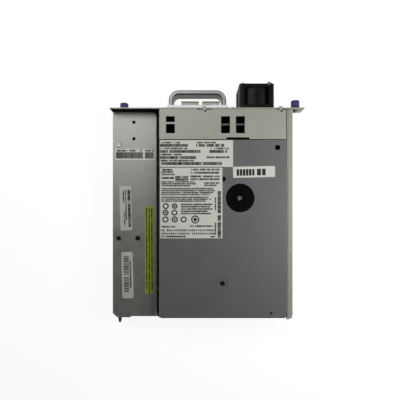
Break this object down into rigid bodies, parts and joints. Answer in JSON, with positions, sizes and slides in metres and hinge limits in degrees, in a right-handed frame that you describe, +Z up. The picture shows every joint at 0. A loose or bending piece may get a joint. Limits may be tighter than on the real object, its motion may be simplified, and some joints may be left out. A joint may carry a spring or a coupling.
{
  "type": "tape drive sled",
  "caption": "Half-height data tape drive in a sheet-metal library sled with a bow handle, rear fan, captive thumbscrews and a front cartridge slot.",
  "frame": {"origin": "under the middle of the bounding box, on the resting plane of the sled", "axes": "+X to the right seen from above with the handle away, +Y to the rear panel, +Z up"},
  "size_m": [0.223, 0.2828, 0.0432],
  "materials": {
    "zinc_sheet": "galvanised sheet",
    "beige_sheet": "pale satin coat on sheet",
    "grey_sheet": "blue-grey coated sheet",
    "satin_steel": "satin",
    "pale_casting": "bead blasted",
    "bright_steel": "plated fasteners",
    "ivory_plastic": "moulded",
    "label_paper": "matt label paper",
    "label_vinyl": "yellow green vinyl",
    "label_ink": "printed marks",
    "gold_contact": "gold flash",
    "dark_steel": "black oxide",
    "black_plastic": "moulded",
    "black_disc": "moulded disc",
    "blue_plastic": "moulded knobs",
    "brass": "turned",
    "circuit_board": "solder mask",
    "cast_aluminium": "as cast",
    "turned_aluminium": "turned",
    "reel_plastic": "moulded",
    "motor_steel": "plated can",
    "ceramic_head": "lapped"
  },
  "bodies": {
    "sled": {"side_cover": "zinc_sheet", "dock_bracket": "zinc_sheet", "base_tray": "beige_sheet", "rear_cover": "beige_sheet", "rear_panel": "beige_sheet", "drive_top_cover": "grey_sheet", "drive_bottom_cover": "grey_sheet", "pull_handle": "satin_steel", "guide_pin": "satin_steel", "hold_down_spring": "satin_steel", "handle_base": "pale_casting", "panel_screws": "bright_steel", "fan_screws": "bright_steel", "drive_screws": "bright_steel", "deck_posts": "bright_steel", "flap_hinge_pin": "bright_steel", "board_spacers": "bright_steel", "cover_posts": "bright_steel", "socket_shells": "ivory_plastic", "cover_screws": "dark_steel", "fan_frame": "black_plastic", "socket_inserts": "black_plastic", "docking_connector": "black_plastic", "drive_connector": "black_plastic", "front_frame": "black_plastic", "thumb_bushes": "brass", "fan_bearings": "brass", "control_board": "circuit_board", "interface_board": "circuit_board", "main_board": "circuit_board", "drive_chassis": "cast_aluminium", "head_base": "cast_aluminium", "small_motors": "motor_steel", "reel_motors": "motor_steel", "fan_stator": "motor_steel"},
    "fan_wheel": {"fan_rotor": "black_plastic"},
    "takeup": {"takeup_reel": "reel_plastic", "takeup_flange": "reel_plastic", "takeup_shaft": "bright_steel", "takeup_hub_cap": "black_disc", "hub_screw": "bright_steel"},
    "supply": {"supply_clutch": "black_plastic"},
    "roller_1": {"guide_roller_1": "turned_aluminium"},
    "roller_2": {"guide_roller_2": "turned_aluminium"},
    "roller_3": {"guide_roller_3": "turned_aluminium"},
    "roller_4": {"guide_roller_4": "turned_aluminium"},
    "head": {"head_carriage": "cast_aluminium", "tape_head": "ceramic_head"},
    "slide": {"loader_slide": "satin_steel"},
    "tray": {"cartridge_tray": "satin_steel"},
    "gear": {"loader_gear": "black_plastic"},
    "pinion": {"loader_pinion": "black_plastic"},
    "arm": {"threading_arm": "black_plastic"},
    "flap": {"door_flap": "black_plastic"},
    "left_collar": {"left_thumb_ring": "bright_steel"},
    "left_knob": {"left_thumb_knob": "blue_plastic", "left_thumb_screw": "bright_steel"},
    "right_collar": {"right_thumb_ring": "bright_steel"},
    "right_knob": {"right_thumb_knob": "blue_plastic", "right_thumb_screw": "bright_steel"}
  },
  "joints": [
    {"name": "fan_spin", "type": "hinge", "parent": "sled", "child": "fan_wheel", "pos_m": [0.0573, 0.1118, 0.0215], "axis": [0, 1, 0], "continuous": true},
    {"name": "takeup_spin", "type": "hinge", "parent": "sled", "child": "takeup", "pos_m": [0.038, 0.0086, 0], "axis": [0, 0, 1], "continuous": true},
    {"name": "supply_spin", "type": "hinge", "parent": "sled", "child": "supply", "pos_m": [0.018, -0.0769, 0], "axis": [0, 0, 1], "continuous": true},
    {"name": "roller_1_spin", "type": "hinge", "parent": "sled", "child": "roller_1", "pos_m": [-0.0384, -0.014, 0], "axis": [0, 0, 1], "continuous": true},
    {"name": "roller_2_spin", "type": "hinge", "parent": "sled", "child": "roller_2", "pos_m": [-0.0334, 0.016, 0], "axis": [0, 0, 1], "continuous": true},
    {"name": "roller_3_spin", "type": "hinge", "parent": "sled", "child": "roller_3", "pos_m": [0.00567, 0.03771, 0], "axis": [0, 0, 1], "continuous": true},
    {"name": "roller_4_spin", "type": "hinge", "parent": "sled", "child": "roller_4", "pos_m": [0.02748, 0.05081, 0], "axis": [0, 0, 1], "continuous": true},
    {"name": "head_lift", "type": "slide", "parent": "sled", "child": "head", "axis": [0, 0, 1], "range_m": [-0.0025, 0.0025]},
    {"name": "loader_travel", "type": "slide", "parent": "sled", "child": "slide", "axis": [0, 1, 0], "range_m": [0, 0.014]},
    {"name": "tray_drop", "type": "slide", "parent": "sled", "child": "tray", "axis": [0, 0, 1], "range_m": [-0.0028, 0]},
    {"name": "gear_turn", "type": "hinge", "parent": "sled", "child": "gear", "pos_m": [0.08086, -0.0104, 0.0295], "axis": [0, 0, 1], "range_deg": [-148.75, 0.2]},
    {"name": "pinion_turn", "type": "hinge", "parent": "sled", "child": "pinion", "pos_m": [0.08086, -0.0014, 0.0295], "axis": [0, 0, 1], "range_deg": [-0.3, 223.12]},
    {"name": "arm_swing", "type": "hinge", "parent": "sled", "child": "arm", "pos_m": [-0.013, 0.002, 0.012], "axis": [0, 0, 1], "range_deg": [-205, 0]},
    {"name": "flap_swing", "type": "hinge", "parent": "sled", "child": "flap", "pos_m": [0.018, -0.1194, 0.0396], "axis": [1, 0, 0], "range_deg": [0, 85], "stiffness_Nm_per_rad": 0.004, "springref_deg": -17.19},
    {"name": "left_screw_push", "type": "slide", "parent": "sled", "child": "left_collar", "axis": [0, -1, 0], "range_m": [0, 0.0024]},
    {"name": "left_screw_spin", "type": "hinge", "parent": "left_collar", "child": "left_knob", "pos_m": [-0.0986, 0.1118, 0.024], "axis": [0, 1, 0], "continuous": true},
    {"name": "right_screw_push", "type": "slide", "parent": "sled", "child": "right_collar", "axis": [0, -1, 0], "range_m": [0, 0.0024]},
    {"name": "right_screw_spin", "type": "hinge", "parent": "right_collar", "child": "right_knob", "pos_m": [0.1031, 0.1118, 0.034], "axis": [0, 1, 0], "continuous": true}
  ],
  "couplings": [
    {"joint": "tray_drop", "follows": "loader_travel", "ratio": -0.2},
    {"joint": "gear_turn", "follows": "loader_travel", "rad_per_m": -185.19},
    {"joint": "pinion_turn", "follows": "loader_travel", "rad_per_m": 277.78}
  ]
}
